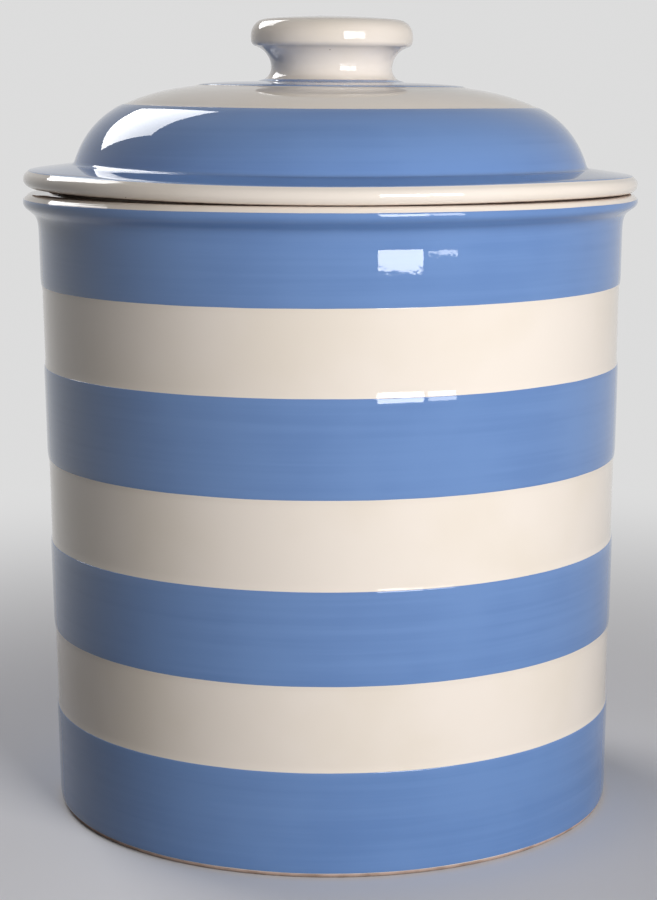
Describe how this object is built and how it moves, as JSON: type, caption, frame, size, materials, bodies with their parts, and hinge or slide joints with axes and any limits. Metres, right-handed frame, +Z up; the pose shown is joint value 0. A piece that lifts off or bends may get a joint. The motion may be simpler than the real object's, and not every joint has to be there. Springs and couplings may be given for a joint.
{
  "type": "lidded bread crock",
  "caption": "Tall cylindrical earthenware bread crock with raised blue bands, a flared rolled rim, and a domed lift-off lid with a flat mushroom knob.",
  "frame": {"origin": "centre of the foot ring, on the plane the crock stands on", "axes": "+Z up along the axis the crock and its lid are turned about; the crock is round, so +X and +Y are any two directions across it"},
  "size_m": [0.2782, 0.2782, 0.3582],
  "materials": {
    "cream_glazed_earthenware": "gloss",
    "blue_slip_glazed": "gloss"
  },
  "bodies": {
    "crock": {"crock_body": "cream_glazed_earthenware", "foot_slip_band": "blue_slip_glazed", "lower_slip_band": "blue_slip_glazed", "upper_slip_band": "blue_slip_glazed", "rim_slip_band": "blue_slip_glazed"},
    "lid": {"lid_shell": "cream_glazed_earthenware", "lid_slip_band": "blue_slip_glazed", "crown_slip_band": "blue_slip_glazed", "lid_knob": "cream_glazed_earthenware"}
  },
  "joints": [
    {"name": "lid_lift", "type": "slide", "parent": "crock", "child": "lid", "axis": [0, 0, 1], "range_m": [0, 0.16]}
  ]
}
